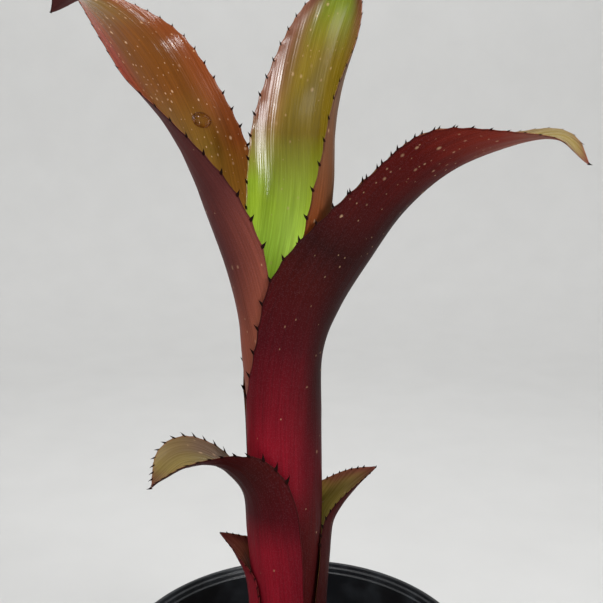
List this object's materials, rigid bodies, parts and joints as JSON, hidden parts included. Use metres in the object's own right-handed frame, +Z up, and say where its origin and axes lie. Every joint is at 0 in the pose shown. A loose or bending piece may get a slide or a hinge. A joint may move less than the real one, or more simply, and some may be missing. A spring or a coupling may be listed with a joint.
{
  "type": "potted royal blood billbergia",
  "caption": "Tubular bromeliad: spiny-edged strap leaves wrapped round each other in an upright tube, arching apart above it, potted in a black nursery pot.",
  "frame": {"origin": "centre of the underside of the pot, where it rests", "axes": "+Z up along the pot's axis, -Y towards the viewer of the picture, +X along the leaf that arches to the right"},
  "size_m": [0.2039, 0.15, 0.4067],
  "materials": {
    "pot": "satin",
    "potting_mix": "matte",
    "crown": "matte",
    "leaf_maroon": "satin",
    "leaf_rust": "satin",
    "leaf_green": "satin",
    "bract": "matte"
  },
  "bodies": {
    "root": {"pot": "pot", "potting_mix": "potting_mix", "crown": "crown", "leaf_right": "leaf_maroon", "leaf_left": "leaf_rust", "leaf_centre": "leaf_green", "leaf_low_left": "leaf_maroon", "leaf_low_right": "leaf_maroon", "leaf_base_left": "leaf_maroon", "bract_dry": "bract"}
  },
  "joints": []
}
